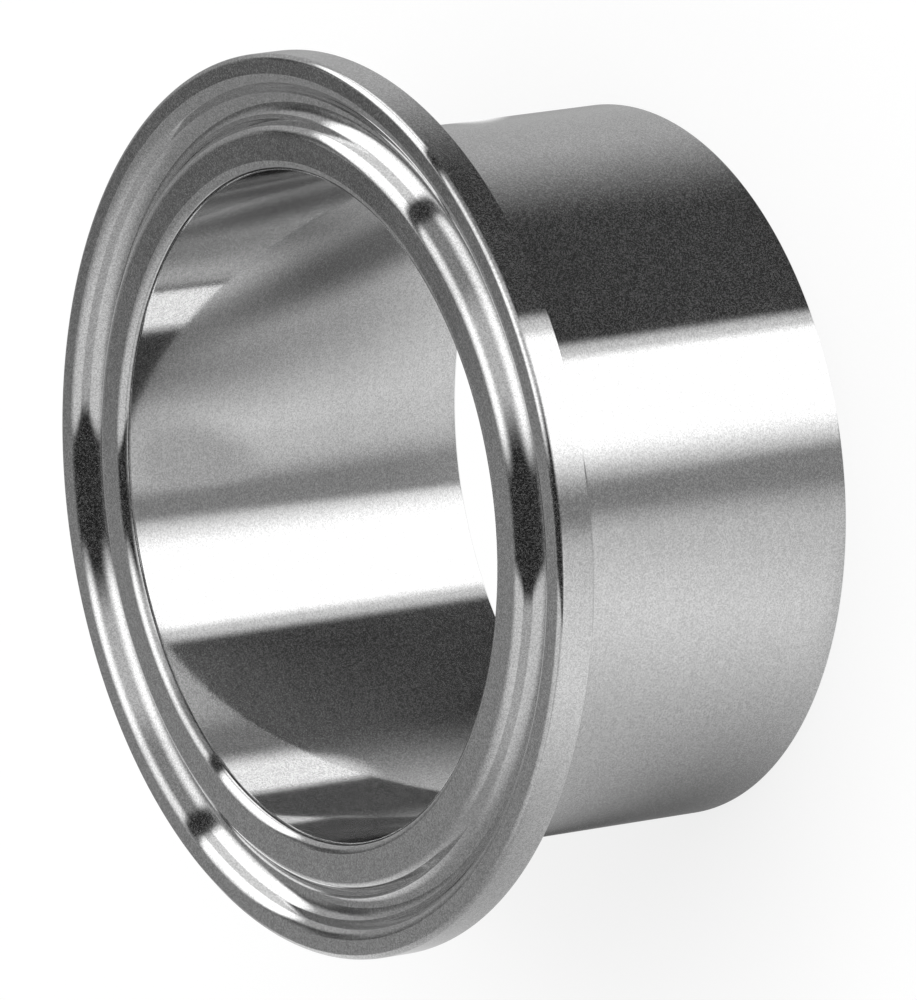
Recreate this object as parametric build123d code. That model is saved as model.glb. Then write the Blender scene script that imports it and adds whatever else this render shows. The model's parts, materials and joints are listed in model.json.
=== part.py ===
from build123d import *
import os
from math import radians, tan

# Hygienic clamp ferrule for 2 inch tube, turned and polished from one piece of stainless steel.
# It is a short tube with a thin flange at one end. The flange's face seals against a gasket, whose
# bead sits in a narrow groove. The flange's back tapers by 20 degrees, so that a two-part clamp
# closing on the rim draws two ferrules together. The other end is cut square, and is butt welded
# to a tube of the same bore.
# Frame: the axis is Z. The weld end stands on z = 0 and the sealing face looks up.
# Lengths are in millimetres and angles in degrees.

# Tube
tube_od = 50.8
wall = 1.65
overall_length = 28.6
weld_edge_round = 0.15

# Flange
rim_thickness = 2.85
rim_front_round = 0.45
rim_rear_round = 0.3
back_taper = 20.0
neck_fillet = 2.0

# Sealing face from the bore to the rim, each width measured between sharp corners
inner_land = 2.99
groove_mouth = 3.34
outer_land = 1.92
bore_lip_round = 0.75

# Gasket groove, whose two walls lean apart towards the mouth and run out in large rounds
groove_depth = 1.4
groove_wall_lean = 34.0
groove_lip_round = 1.0
groove_bottom_round = 1.3

# Radii and heights that follow from the sizes above
tube_radius = tube_od / 2
bore_radius = tube_radius - wall
groove_inner = bore_radius + inner_land
groove_outer = groove_inner + groove_mouth
rim_radius = groove_outer + outer_land
face = overall_length


def flange_corners():
    """The outside from the weld end up to the face, as radius, height and corner round."""
    rim_rear = face - rim_thickness
    taper_drop = (rim_radius - tube_radius) * tan(radians(back_taper))
    return [
        (tube_radius, 0, weld_edge_round),
        (tube_radius, rim_rear - taper_drop, neck_fillet),
        (rim_radius, rim_rear, rim_rear_round),
        (rim_radius, face, rim_front_round),
    ]


def groove_corners():
    """The gasket groove from its outer lip to its inner lip."""
    floor = face - groove_depth
    wall_run = groove_depth * tan(radians(groove_wall_lean))
    return [
        (groove_outer, face, groove_lip_round),
        (groove_outer - wall_run, floor, groove_bottom_round),
        (groove_inner + wall_run, floor, groove_bottom_round),
        (groove_inner, face, groove_lip_round),
    ]


def bore_corners():
    """The bore from the sealing face down to the weld end."""
    return [
        (bore_radius, face, bore_lip_round),
        (bore_radius, 0, weld_edge_round),
    ]


def turned(corners):
    """A solid turned round the Z axis from a closed profile with rounded corners."""
    points = [(radius, height) for radius, height, _ in corners]
    rounds = [corner_round for _, _, corner_round in corners]
    profile = FilletPolyline(*points, radius=rounds, close=True)
    return revolve(Plane.XZ * make_face(profile), Axis.Z, 360)


ferrule = turned(flange_corners() + groove_corners() + bore_corners())
os.makedirs("parts", exist_ok=True)
export_step(ferrule, "parts/clamp_ferrule.step")
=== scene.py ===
import json
import math

import bmesh
import bpy
import numpy as np
from mathutils import Matrix, Vector


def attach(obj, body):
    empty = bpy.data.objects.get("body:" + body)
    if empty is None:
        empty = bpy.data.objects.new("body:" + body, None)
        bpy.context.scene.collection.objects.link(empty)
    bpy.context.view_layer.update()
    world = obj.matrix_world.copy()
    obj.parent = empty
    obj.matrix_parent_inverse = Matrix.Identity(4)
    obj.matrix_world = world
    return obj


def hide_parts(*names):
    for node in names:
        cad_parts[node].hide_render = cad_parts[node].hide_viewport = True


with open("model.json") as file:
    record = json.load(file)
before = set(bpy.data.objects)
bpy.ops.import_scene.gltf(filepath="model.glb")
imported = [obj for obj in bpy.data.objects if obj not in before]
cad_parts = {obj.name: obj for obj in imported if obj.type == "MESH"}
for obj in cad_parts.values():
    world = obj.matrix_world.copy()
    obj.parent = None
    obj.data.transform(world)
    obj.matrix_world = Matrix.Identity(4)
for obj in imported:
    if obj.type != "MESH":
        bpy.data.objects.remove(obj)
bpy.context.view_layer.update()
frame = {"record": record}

MM = 0.001
mounts = {mount["name"]: mount for mount in frame["record"]["mounts"]}

# Sizes that the frame gives
tube_radius = mounts["weld_end"]["dims"]["r_mm"] * MM
bore_radius = mounts["tube_bore"]["dims"]["r_mm"] * MM
rim_radius = mounts["clamp_rim"]["dims"]["r_mm"] * MM
face = mounts["sealing_face"]["pos_m"][2]

# Sizes of the turned profile that the frame doesn't give, as in the part's source
rim_thickness = 2.85 * MM
back_taper = math.radians(20)
inner_land = 2.99 * MM
groove_mouth = 3.34 * MM
groove_depth = 1.4 * MM
groove_wall_lean = math.radians(34)
weld_edge_round = 0.15 * MM
neck_fillet = 2.0 * MM
rim_rear_round = 0.3 * MM
rim_front_round = 0.45 * MM
groove_lip_round = 1.0 * MM
groove_bottom_round = 1.3 * MM
bore_lip_round = 0.75 * MM

# Steps in the profile's rounds, and segments round the axis
EDGE_STEPS, REAR_STEPS, ROUND_STEPS, LIP_STEPS = 4, 6, 8, 10
BODY_SEGMENTS, FLOOR_SEGMENTS, GLOW_SEGMENTS = 1024, 96, 64

# Camera: the middle of the sealing face in the camera's own right, down and forward directions,
# and the direction of the ferrule's axis there, from the face to the weld end
IMAGE_WIDTH, IMAGE_HEIGHT = 917, 1000
face_from_camera = Vector((-10.824, 0.556, 1069.96)) * MM
axis_in_camera = Vector((0.8314, -0.1203, 0.5424)).normalized()
focal_pixels = 15270
CLIP_NEAR, CLIP_FAR = 0.01, 20

STEEL_TONE = 0.66
# The polish: sizes of its grain, turning marks and haze, and how far each changes the tone
GRAIN_SIZE, GRAIN_DEPTH = 0.08 * MM, 0.2
MARK_SPACING, MARKS_AROUND, MARK_DETAIL, MARK_DEPTH = 0.3 * MM, 3, 3, 0.06
HAZE_SIZE, HAZE_DETAIL, HAZE_DEPTH = 6 * MM, 2, 0.03
MARK_HEIGHT = 0.0004 * MM
ROUGHNESS_LEAST, ROUGHNESS_MARKS, ROUGHNESS_HAZE = 0.03, 0.03, 0.04
# The paler grains are tiny pits, which scatter a little light
PITS_DEPTH = 0.1

# The studio as the steel shows it. A card starts at a bearing, has an edge so many degrees soft
# and holds to the next card. Bearings and tilts are in degrees, as studio_tones says. Tones are
# linear, and 1 is the white of the background.
WALL_GROUND = 0.40
WALL_CARDS = [
    dict(start=-17, soft=8, tone=0.64),
    dict(start=-8.3, soft=5, tone=0.25),
    dict(start=0.3, soft=10, tone=1.75),
    dict(start=17.5, soft=2, tone=0.80),
    dict(start=19.8, soft=2, tone=0.045),
    dict(start=53, soft=23, tone=0.48),
    dict(start=125, soft=50, tone=0.40),
]
# Here a card may lean and bend with the tilt away from its middle. It may be dimmer below the
# light's foot or behind a bar, by the share given, and have another tone up to a line.
ROUND_GROUND = 0.27
ROUND_CARDS = [
    dict(start=-50, soft=50, tone=0.74, lean=0.5, bar=0.65),
    dict(start=-16, soft=3.5, tone=0.02, lean=0.12, bend=-0.002),
    dict(start=4.8, soft=10, tone=1.62, foot=0.38, lean=-0.13, bend=0.0055),
    dict(start=27.5, soft=9, tone=1.25, foot=0.22),
    dict(start=43, soft=2, tone=0.02),
    dict(start=47.7, soft=2, tone=1.75, bar=0.52),
    dict(start=73, soft=5, tone=0.05, bend=-0.012, line=0.42),
    dict(start=88, soft=12, tone=0.31),
    dict(start=130, soft=70, tone=0.27),
]
CARD_MIDDLE = 50
LIGHT_FOOT, LIGHT_FOOT_SOFTNESS = 50, 24
BAR_FROM, BAR_TO, BAR_SOFTNESS = 31, 38.5, 5
LINE_TO, LINE_SOFTNESS = 65, 14
FLAT_GROUND = 0.26
FLAT_CARDS = [
    dict(start=70, soft=20, tone=0.37),
    dict(start=77, soft=8, tone=0.08),
    dict(start=130, soft=90, tone=0.26),
]
# The tilts at which one set of cards passes into the next
ROUNDS_FROM, ROUNDS_SOFTNESS = 20, 28
FLATS_FROM, FLATS_SOFTNESS = 78.5, 27
# The studio is plain in the direction that the photograph's view looks in, and close to it
PLAIN_TONE, PLAIN_REACH, PLAIN_SOFTNESS = 0.4, 0.23, 0.24

# A glowing card which only the steel shows: a painted reflection of a pale table top beside the
# ferrule, with the table's light and shade painted in. Its places are across the ferrule and along
# it, from the foot: the point of the weld end's edge that touches it. Its painted light gets
# brighter in steps from its far side, in a direction turned so many radians from across.
TABLE_TURN, TABLE_FAR = 1.08, 0.28
TABLE_LIGHT_STEPS = [
    dict(start=-55 * MM, soft=36 * MM, tone=0.70),
    dict(start=-27 * MM, soft=25 * MM, tone=0.86),
]
# Its low and high limits across, its back and front limits along, and how softly it fades there
TABLE_REACH = (-150 * MM, 70 * MM, -130 * MM, 41 * MM)
TABLE_FADES = (50 * MM, 20 * MM, 40 * MM, 12 * MM)
# Soft oval patches on it, turned in radians: the shade at its side, the tube's shadow, the light
# through the tube, the shadow's dark core, the light under the rim and the shade further off
TABLE_PATCHES = [
    dict(spot=(29 * MM, 11.5 * MM), turn=-1.0, size=(48 * MM, 20 * MM), soft=0.4, tone=0.31),
    dict(spot=(7.5 * MM, 21 * MM), turn=-1.3, size=(38 * MM, 30 * MM), soft=1.2, tone=0.02),
    dict(spot=(13 * MM, -4 * MM), turn=-1.5, size=(7 * MM, 10 * MM), soft=2.6, tone=0.66),
    dict(spot=(31 * MM, -27 * MM), turn=-0.75, size=(39 * MM, 5 * MM), soft=1.1, tone=0.12),
    dict(spot=(30 * MM, 43 * MM), turn=0.55, size=(44 * MM, 10 * MM), soft=2.6, tone=1.1),
    dict(spot=(-41 * MM, -21 * MM), turn=0.57, size=(27 * MM, 4.6 * MM), soft=0.7, tone=0.5),
]

# A faint glow just outside the weld end, on one side of its opening, and a small light below it,
# which only the bore shows. Each lies level and adds to what is behind it.
GLOW_LEVEL, GLOW_TONE = -0.3 * MM, 0.06
GLOW_FROM, GLOW_SOFTNESS = 14 * MM, 20 * MM
GLOW_TURN, GLOW_SIDE_FROM, GLOW_SIDE_SOFTNESS = 0.6, 9 * MM, 12 * MM
LIGHT_LEVEL, LIGHT_TONE = -4 * MM, 0.69
LIGHT_PATCH = dict(spot=(21.8 * MM, 22.7 * MM), turn=-0.37, size=(9.6 * MM, 3.8 * MM), soft=0.8)

# Plain light from all round, which only matt surfaces receive: the floor and the steel's pits
PLAIN_LIGHT = 0.62
WHITE = (1, 1, 1, 1)
FLOOR_TONE, FLOOR_RADIUS = 0.9, 2.0
# The camera sees this share of the floor as plain white
FLOOR_WHITE_SHARE, FLOOR_WHITE = 0.7, 1.08
# The lamp's size and distance in metres, its power in watts, and its bearing and height in degrees
LAMP_SIZE, LAMP_DISTANCE = 1.2, 1.5
LAMP_POWER = 10.5
LAMP_BEARING, LAMP_HEIGHT = 40, 55


def profile_corners():
    """The closed section, as radius, height, corner round and steps in that round."""
    rim_rear = face - rim_thickness
    taper_drop = (rim_radius - tube_radius) * math.tan(back_taper)
    groove_inner = bore_radius + inner_land
    groove_outer = groove_inner + groove_mouth
    wall_run = groove_depth * math.tan(groove_wall_lean)
    floor = face - groove_depth
    return [
        (tube_radius, 0, weld_edge_round, EDGE_STEPS),
        (tube_radius, rim_rear - taper_drop, neck_fillet, ROUND_STEPS),
        (rim_radius, rim_rear, rim_rear_round, REAR_STEPS),
        (rim_radius, face, rim_front_round, ROUND_STEPS),
        (groove_outer, face, groove_lip_round, ROUND_STEPS),
        (groove_outer - wall_run, floor, groove_bottom_round, ROUND_STEPS),
        (groove_inner + wall_run, floor, groove_bottom_round, ROUND_STEPS),
        (groove_inner, face, groove_lip_round, ROUND_STEPS),
        (bore_radius, face, bore_lip_round, LIP_STEPS),
        (bore_radius, 0, weld_edge_round, EDGE_STEPS),
    ]


def rounded_profile(corners):
    """Points and outward normals along a closed section with rounded corners."""
    points, normals = [], []
    spots = [np.array(corner[:2], float) for corner in corners]
    for i, (_, _, corner_round, steps) in enumerate(corners):
        before, here, after = spots[i - 1], spots[i], spots[(i + 1) % len(spots)]
        along_in = (here - before) / np.linalg.norm(here - before)
        along_out = (after - here) / np.linalg.norm(after - here)
        turn = math.atan2(
            along_in[0] * along_out[1] - along_in[1] * along_out[0], along_in @ along_out
        )
        side = math.copysign(1, turn)
        normal_in = np.array([along_in[1], -along_in[0]])
        start = here - along_in * corner_round * math.tan(abs(turn) / 2)
        centre = start - side * normal_in * corner_round
        for step in range(steps + 1):
            angle = turn * step / steps
            cosine, sine = math.cos(angle), math.sin(angle)
            normal = np.array(
                [
                    normal_in[0] * cosine - normal_in[1] * sine,
                    normal_in[0] * sine + normal_in[1] * cosine,
                ]
            )
            points.append(centre + side * normal * corner_round)
            normals.append(normal)
    return np.array(points), np.array(normals)


def turned_mesh(name, points, normals, segments):
    """A ring mesh turned from a closed section round Z, shaded by the section's own normals."""
    rows = len(points)
    angle = np.arange(segments) * 2 * math.pi / segments
    cosine, sine = np.cos(angle)[:, None], np.sin(angle)[:, None]
    radius, height = points[:, 0][None], points[:, 1][None]
    coords = np.stack([radius * cosine, radius * sine, height + 0 * cosine], -1).reshape(-1, 3)
    normal_r, normal_z = normals[:, 0][None], normals[:, 1][None]
    directions = np.stack(
        [normal_r * cosine, normal_r * sine, normal_z + 0 * cosine], -1
    ).reshape(-1, 3)
    segment, row = np.meshgrid(np.arange(segments), np.arange(rows), indexing="ij")
    next_segment, next_row = (segment + 1) % segments, (row + 1) % rows
    faces = np.stack(
        [
            segment * rows + row,
            next_segment * rows + row,
            next_segment * rows + next_row,
            segment * rows + next_row,
        ],
        -1,
    ).reshape(-1, 4)
    mesh = bpy.data.meshes.new(name)
    mesh.from_pydata(coords.tolist(), [], faces.tolist())
    mesh.update()
    mesh.shade_smooth()
    mesh.normals_split_custom_set_from_vertices(directions.tolist())
    return mesh


def add_object(name, data):
    """A new object in the scene."""
    item = bpy.data.objects.new(name, data)
    bpy.context.scene.collection.objects.link(item)
    return item


def circle(radius, height, segments):
    """Evenly spaced points on a level circle round the axis."""
    angles = [2 * math.pi * i / segments for i in range(segments)]
    return [Vector((radius * math.cos(a), radius * math.sin(a), height)) for a in angles]


def build_ferrule():
    """The ferrule's polished body, which stands for the CAD node."""
    points, normals = rounded_profile(profile_corners())
    body = add_object("ferrule_body", turned_mesh("ferrule_body", points, normals, BODY_SEGMENTS))
    body.data.materials.append(steel_material())
    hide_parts("clamp_ferrule")
    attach(body, "root")


def join(tree, socket, value):
    """Gives a socket a plain value, or links it to another node's output."""
    if isinstance(value, bpy.types.NodeSocket):
        tree.links.new(value, socket)
    else:
        socket.default_value = value


def calculate(tree, operation, *values):
    """The result of one Math node."""
    node = tree.nodes.new("ShaderNodeMath")
    node.operation = operation
    for socket, value in zip(node.inputs, values):
        join(tree, socket, value)
    return node.outputs["Value"]


def times(tree, first, second):
    """The product of two numbers."""
    return calculate(tree, "MULTIPLY", first, second)


def radius_of(tree, x, y):
    """How far a place is from the middle."""
    return calculate(tree, "SQRT", calculate(tree, "MULTIPLY_ADD", x, x, times(tree, y, y)))


def calculate_vector(tree, operation, *values):
    """The result of one Vector Math node, which is a number for a dot product or a length."""
    node = tree.nodes.new("ShaderNodeVectorMath")
    node.operation = operation
    for socket, value in zip(node.inputs, values):
        join(tree, socket, value)
    return node.outputs["Value" if operation in ("DOT_PRODUCT", "LENGTH") else "Vector"]


def split(tree, vector):
    """The three components of a vector."""
    node = tree.nodes.new("ShaderNodeSeparateXYZ")
    join(tree, node.inputs["Vector"], vector)
    return node.outputs["X"], node.outputs["Y"], node.outputs["Z"]


def step_up(tree, value, middle, width):
    """A smooth step from 0 to 1 where a value passes a middle."""
    node = tree.nodes.new("ShaderNodeMapRange")
    node.interpolation_type = "SMOOTHSTEP"
    join(tree, node.inputs["Value"], value)
    join(tree, node.inputs["From Min"], middle - width / 2)
    join(tree, node.inputs["From Max"], middle + width / 2)
    return node.outputs["Result"]


def blend(tree, share, first, second):
    """A number between two others."""
    node = tree.nodes.new("ShaderNodeMix")
    node.data_type = "FLOAT"
    join(tree, node.inputs[0], share)
    join(tree, node.inputs[2], first)
    join(tree, node.inputs[3], second)
    return node.outputs[0]


def grey(tree, tone):
    """A colour whose three channels are one tone."""
    node = tree.nodes.new("ShaderNodeCombineColor")
    for channel in node.inputs:
        join(tree, channel, tone)
    return node.outputs["Color"]


def noise(tree, place, fineness, detail):
    """Soft random values round 0.5, of so many grains to the unit."""
    node = tree.nodes.new("ShaderNodeTexNoise")
    join(tree, node.inputs["Vector"], place)
    join(tree, node.inputs["Scale"], fineness)
    join(tree, node.inputs["Detail"], detail)
    return node.outputs["Fac"]


def steel_material():
    """Polished stainless steel: fine even grain, faint turning marks and a little haze."""
    material = bpy.data.materials.new("polished_stainless_steel")
    material.use_nodes = True
    tree = material.node_tree
    shader = tree.nodes["Principled BSDF"]
    place = tree.nodes.new("ShaderNodeTexCoord").outputs["Object"]
    x, y, z = split(tree, place)
    radius = radius_of(tree, x, y)
    # Turning marks run round the axis: they change fast across the profile and slowly round it
    lathe = tree.nodes.new("ShaderNodeCombineXYZ")
    for axis, value in (("X", x), ("Y", y)):
        share = calculate(tree, "DIVIDE", value, radius)
        join(tree, lathe.inputs[axis], times(tree, share, MARKS_AROUND))
    across = calculate(tree, "ADD", radius, z)
    join(tree, lathe.inputs["Z"], calculate(tree, "DIVIDE", across, MARK_SPACING))
    marks = noise(tree, lathe.outputs["Vector"], 1, MARK_DETAIL)
    # Each small cube of the place has a random value of its own
    grains = calculate_vector(tree, "DIVIDE", place, (GRAIN_SIZE, GRAIN_SIZE, GRAIN_SIZE))
    random = tree.nodes.new("ShaderNodeTexWhiteNoise")
    join(tree, random.inputs["Vector"], calculate_vector(tree, "FLOOR", grains))
    grain = random.outputs["Value"]
    haze = noise(tree, place, 1 / HAZE_SIZE, HAZE_DETAIL)
    tone = STEEL_TONE
    for pattern, depth in ((grain, GRAIN_DEPTH), (marks, MARK_DEPTH), (haze, HAZE_DEPTH)):
        change = calculate(tree, "MULTIPLY_ADD", pattern, 2 * depth, 1 - depth)
        tone = times(tree, tone, change)
    join(tree, shader.inputs["Base Color"], grey(tree, tone))
    pits = times(tree, grain, grain)
    join(tree, shader.inputs["Metallic"], calculate(tree, "MULTIPLY_ADD", pits, -PITS_DEPTH, 1))
    rough = calculate(tree, "MULTIPLY_ADD", marks, ROUGHNESS_MARKS, ROUGHNESS_LEAST)
    rough = calculate(tree, "MULTIPLY_ADD", haze, ROUGHNESS_HAZE, rough)
    join(tree, shader.inputs["Roughness"], rough)
    bump = tree.nodes.new("ShaderNodeBump")
    join(tree, bump.inputs["Height"], marks)
    join(tree, bump.inputs["Distance"], MARK_HEIGHT)
    join(tree, shader.inputs["Normal"], bump.outputs["Normal"])
    return material


def camera_rows():
    """The row frame's axes in the camera's right, down and forward directions, one to a row."""
    forward = Vector((0, 0, 1))
    up_in_camera = -axis_in_camera
    along_in_camera = (forward - up_in_camera * forward.dot(up_in_camera)).normalized()
    right_in_camera = along_in_camera.cross(up_in_camera)
    return Matrix((right_in_camera, along_in_camera, up_in_camera))


def add_camera():
    """The photograph's view, along +Y and down, rolled so that the axis lies across the image."""
    rows = camera_rows()
    camera = add_object("camera", bpy.data.cameras.new("camera"))
    camera.data.lens = focal_pixels / max(IMAGE_WIDTH, IMAGE_HEIGHT) * camera.data.sensor_width
    camera.data.clip_start, camera.data.clip_end = CLIP_NEAR, CLIP_FAR
    # A camera looks along its own -Z with +Y up
    axes = rows @ Matrix(((1, 0, 0), (0, -1, 0), (0, 0, -1)))
    camera.matrix_world = axes.to_4x4()
    camera.location = Vector((0, 0, face)) - rows @ face_from_camera
    bpy.context.scene.camera = camera


def lay_cards(tree, bearing, tilt, ground, cards):
    """Tones that follow each other round the studio, each from its own bearing on."""
    above = calculate(tree, "SUBTRACT", tilt, CARD_MIDDLE)
    foot = step_up(tree, tilt, LIGHT_FOOT, LIGHT_FOOT_SOFTNESS)
    over_bar = step_up(tree, tilt, BAR_TO, BAR_SOFTNESS)
    bar = calculate(tree, "SUBTRACT", step_up(tree, tilt, BAR_FROM, BAR_SOFTNESS), over_bar)
    over_line = step_up(tree, tilt, LINE_TO, LINE_SOFTNESS)
    tone = ground
    for card in cards:
        along, level = bearing, card["tone"]
        if "lean" in card:
            along = calculate(tree, "MULTIPLY_ADD", above, -card["lean"], along)
        if "bend" in card:
            square = times(tree, above, above)
            along = calculate(tree, "MULTIPLY_ADD", square, -card["bend"], along)
        if "foot" in card:
            level = times(tree, blend(tree, foot, card["foot"], 1), level)
        if "bar" in card:
            level = times(tree, blend(tree, bar, 1, card["bar"]), level)
        if "line" in card:
            level = blend(tree, over_line, card["line"], level)
        tone = blend(tree, step_up(tree, along, card["start"], card["soft"]), tone, level)
    return tone


def studio_tones(tree, direction):
    """What the steel sees in a direction, laid out by the surface that shows it to the camera.

    A surface that faces a bearing and a tilt, in degrees, reflects one direction to the camera's
    middle. The bearing is 0 towards -Y and grows towards +X, and the tilt is 0 on upright walls
    and 90 on the flat face.
    """
    view = camera_rows() @ Vector((0, 0, 1))
    apart = calculate_vector(tree, "SUBTRACT", direction, view)
    x, y, z = split(tree, calculate_vector(tree, "NORMALIZE", apart))
    bearing = calculate(tree, "DEGREES", calculate(tree, "ARCTAN2", x, times(tree, y, -1)))
    tilt = calculate(tree, "DEGREES", calculate(tree, "ARCSINE", z))
    walls = lay_cards(tree, bearing, tilt, WALL_GROUND, WALL_CARDS)
    rounds = lay_cards(tree, bearing, tilt, ROUND_GROUND, ROUND_CARDS)
    flats = lay_cards(tree, bearing, tilt, FLAT_GROUND, FLAT_CARDS)
    tone = blend(tree, step_up(tree, tilt, ROUNDS_FROM, ROUNDS_SOFTNESS), walls, rounds)
    tone = blend(tree, step_up(tree, tilt, FLATS_FROM, FLATS_SOFTNESS), tone, flats)
    length = calculate_vector(tree, "LENGTH", apart)
    return blend(tree, step_up(tree, length, PLAIN_REACH, PLAIN_SOFTNESS), PLAIN_TONE, tone)


def build_world():
    """White for the camera, plain light for matt surfaces and the studio's cards in the steel."""
    world = bpy.data.worlds.new("studio")
    bpy.context.scene.world = world
    world.use_nodes = True
    tree = world.node_tree
    background = tree.nodes["Background"]
    direction = tree.nodes.new("ShaderNodeTexCoord").outputs["Generated"]
    path = tree.nodes.new("ShaderNodeLightPath")
    strength = studio_tones(tree, direction)
    strength = blend(tree, path.outputs["Is Diffuse Ray"], strength, PLAIN_LIGHT)
    for kind in ("Is Transmission Ray", "Is Camera Ray"):
        strength = blend(tree, path.outputs[kind], strength, 1)
    join(tree, background.inputs["Color"], WHITE)
    join(tree, background.inputs["Strength"], strength)


def stage_material(item):
    """The empty node tree of a new material, whose emission is only seen and lights nothing."""
    material = bpy.data.materials.new(item.name)
    material.use_nodes = True
    material.node_tree.nodes.clear()
    material.cycles.emission_sampling = "NONE"
    item.data.materials.append(material)
    return material.node_tree


def finish_stage(tree, surface):
    """Gives a thing of the stage its surface."""
    output = tree.nodes.new("ShaderNodeOutputMaterial")
    tree.links.new(surface.outputs["Shader"], output.inputs["Surface"])


def build_floor():
    """A pale ring of floor round the ferrule, which the steel doesn't mirror."""
    outline = bmesh.new()
    inner, outer = (
        [outline.verts.new(spot) for spot in circle(radius, 0, FLOOR_SEGMENTS)]
        for radius in (bore_radius, FLOOR_RADIUS)
    )
    for i in range(FLOOR_SEGMENTS):
        outline.faces.new((inner[i - 1], outer[i - 1], outer[i], inner[i]))
    mesh = bpy.data.meshes.new("floor")
    outline.to_mesh(mesh)
    outline.free()
    floor = add_object("floor", mesh)
    floor.visible_glossy = False
    tree = stage_material(floor)
    paint = tree.nodes.new("ShaderNodeBsdfDiffuse")
    join(tree, paint.inputs["Color"], (FLOOR_TONE, FLOOR_TONE, FLOOR_TONE, 1))
    glow = tree.nodes.new("ShaderNodeEmission")
    join(tree, glow.inputs["Strength"], FLOOR_WHITE)
    path = tree.nodes.new("ShaderNodeLightPath")
    both = tree.nodes.new("ShaderNodeMixShader")
    join(tree, both.inputs[0], times(tree, path.outputs["Is Camera Ray"], FLOOR_WHITE_SHARE))
    tree.links.new(paint.outputs["BSDF"], both.inputs[1])
    tree.links.new(glow.outputs["Emission"], both.inputs[2])
    finish_stage(tree, both)


def outside_patch(tree, u, v, patch):
    """A number that is 0 inside one soft oval patch of a card and 1 outside it."""
    cosine, sine = math.cos(patch["turn"]), math.sin(patch["turn"])
    du = calculate(tree, "SUBTRACT", u, patch["spot"][0])
    dv = calculate(tree, "SUBTRACT", v, patch["spot"][1])
    one_way = calculate(tree, "MULTIPLY_ADD", dv, sine, times(tree, du, cosine))
    other_way = calculate(tree, "MULTIPLY_ADD", dv, cosine, times(tree, du, -sine))
    one_way = calculate(tree, "DIVIDE", one_way, patch["size"][0])
    other_way = calculate(tree, "DIVIDE", other_way, patch["size"][1])
    return step_up(tree, radius_of(tree, one_way, other_way), 1, patch["soft"])


def add_card(name, corners, lay_out):
    """A flat card that only the steel shows.

    Its layout takes a place and gives the card's light and how clear the card is there.
    """
    mesh = bpy.data.meshes.new(name)
    mesh.from_pydata(corners, [], [tuple(range(len(corners)))])
    card = add_object(name, mesh)
    for kind in ("camera", "diffuse", "transmission", "volume_scatter", "shadow"):
        setattr(card, "visible_" + kind, False)
    tree = stage_material(card)
    light, clear = lay_out(tree, tree.nodes.new("ShaderNodeNewGeometry").outputs["Position"])
    glow = tree.nodes.new("ShaderNodeEmission")
    join(tree, glow.inputs["Strength"], light)
    beyond = tree.nodes.new("ShaderNodeBsdfTransparent")
    join(tree, beyond.inputs["Color"], grey(tree, clear))
    both = tree.nodes.new("ShaderNodeAddShader")
    tree.links.new(beyond.outputs["BSDF"], both.inputs[0])
    tree.links.new(glow.outputs["Emission"], both.inputs[1])
    finish_stage(tree, both)


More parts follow.
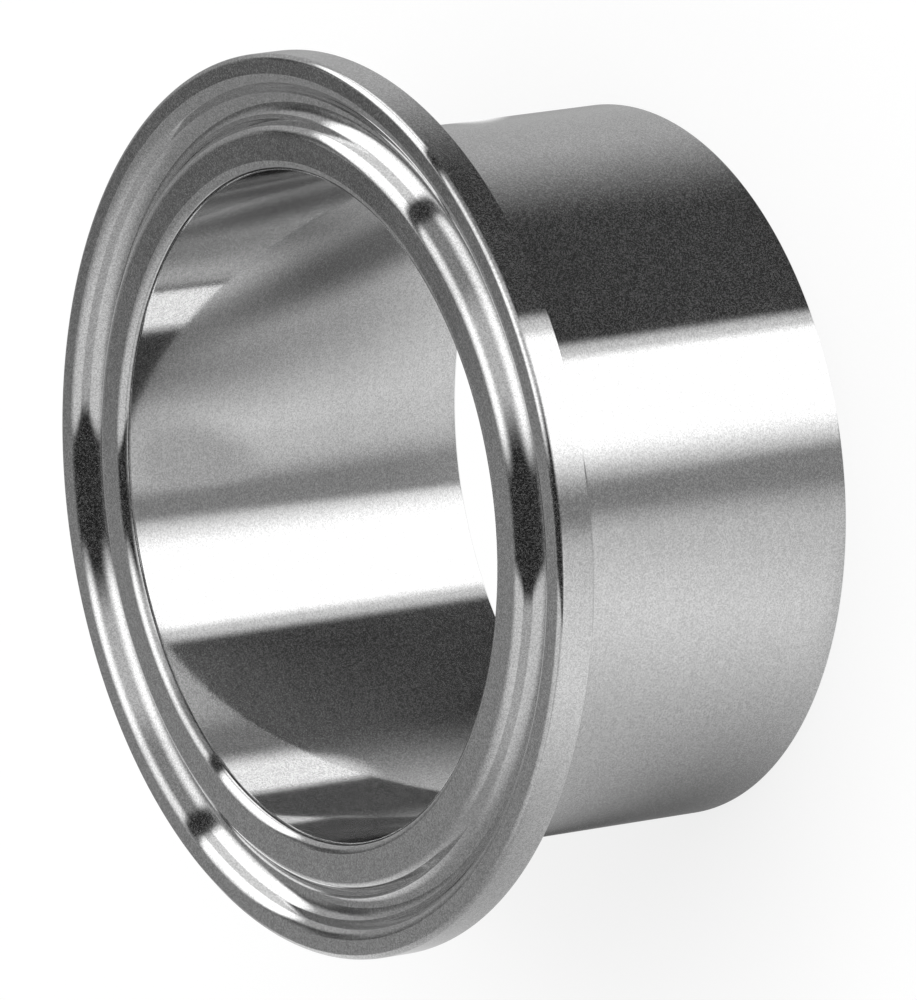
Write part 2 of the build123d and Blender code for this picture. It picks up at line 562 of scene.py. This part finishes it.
def build_table():
    """The table top that the steel shows, as a glowing card of painted light and shadows: it
    touches the rim and the edge of the weld end.
    """
    foot = Vector((-tube_radius, 0, 0))
    rim_touch = Vector((-rim_radius, 0, face - rim_thickness))
    across, along = Vector((0, 1, 0)), (rim_touch - foot).normalized()
    low, high, back, front = TABLE_REACH

    def lay_out(tree, place):
        place = calculate_vector(tree, "SUBTRACT", place, foot)
        u, v = (calculate_vector(tree, "DOT_PRODUCT", place, way) for way in (across, along))
        towards = times(tree, u, math.cos(TABLE_TURN))
        towards = calculate(tree, "MULTIPLY_ADD", v, math.sin(TABLE_TURN), towards)
        # Painted light: brighter in steps towards the lit side, then painted shadows and lights in
        # patches
        tone = TABLE_FAR
        for step in TABLE_LIGHT_STEPS:
            share = step_up(tree, towards, step["start"], step["soft"])
            tone = blend(tree, share, tone, step["tone"])
        for patch in TABLE_PATCHES:
            tone = blend(tree, outside_patch(tree, u, v, patch), patch["tone"], tone)
        sides = ((u, low), (times(tree, u, -1), -high), (v, back), (times(tree, v, -1), -front))
        cover = 1
        for (value, edge), fade in zip(sides, TABLE_FADES):
            cover = times(tree, cover, step_up(tree, value, edge + fade / 2, fade))
        return times(tree, tone, cover), calculate(tree, "SUBTRACT", 1, cover)

    corners = [(low, back), (high, back), (high, front), (low, front)]
    add_card("table_top", [foot + across * u + along * v for u, v in corners], lay_out)


def build_end_lights():
    """The glow outside the weld end and the small light below it."""

    def lay_out_glow(tree, place):
        x, y, _ = split(tree, place)
        side = times(tree, x, math.cos(GLOW_TURN))
        side = calculate(tree, "MULTIPLY_ADD", y, math.sin(GLOW_TURN), side)
        share = step_up(tree, side, GLOW_SIDE_FROM, GLOW_SIDE_SOFTNESS)
        edge = step_up(tree, radius_of(tree, x, y), GLOW_FROM, GLOW_SOFTNESS)
        return times(tree, times(tree, share, edge), GLOW_TONE), 1

    add_card("end_glow", circle(bore_radius, GLOW_LEVEL, GLOW_SEGMENTS), lay_out_glow)

    def lay_out_light(tree, place):
        x, y, _ = split(tree, place)
        share = calculate(tree, "SUBTRACT", 1, outside_patch(tree, x, y, LIGHT_PATCH))
        return times(tree, share, LIGHT_TONE), 1

    x, y = LIGHT_PATCH["spot"]
    reach = (1 + LIGHT_PATCH["soft"] / 2) * max(LIGHT_PATCH["size"])
    signs = ((-1, -1), (1, -1), (1, 1), (-1, 1))
    corners = [Vector((x + reach * i, y + reach * j, LIGHT_LEVEL)) for i, j in signs]
    add_card("end_light", corners, lay_out_light)


def build_lamp():
    """One large soft lamp overhead, which gives the floor its shadow."""
    lamp = bpy.data.lights.new("soft_lamp", "AREA")
    lamp.shape = "SQUARE"
    lamp.size = LAMP_SIZE
    lamp.energy = LAMP_POWER
    holder = add_object("soft_lamp", lamp)
    bearing, height = math.radians(LAMP_BEARING), math.radians(LAMP_HEIGHT)
    level = Vector((math.sin(bearing), -math.cos(bearing), 0)) * math.cos(height)
    towards = level + Vector((0, 0, math.sin(height)))
    holder.location = towards * LAMP_DISTANCE
    holder.rotation_mode = "QUATERNION"
    holder.rotation_quaternion = towards.to_track_quat("Z", "Y")
    holder.visible_glossy = False
    holder.visible_camera = False


build_ferrule()
add_camera()
build_world()
build_floor()
build_table()
build_end_lights()
build_lamp()

bpy.context.scene.view_settings.view_transform = "Standard"
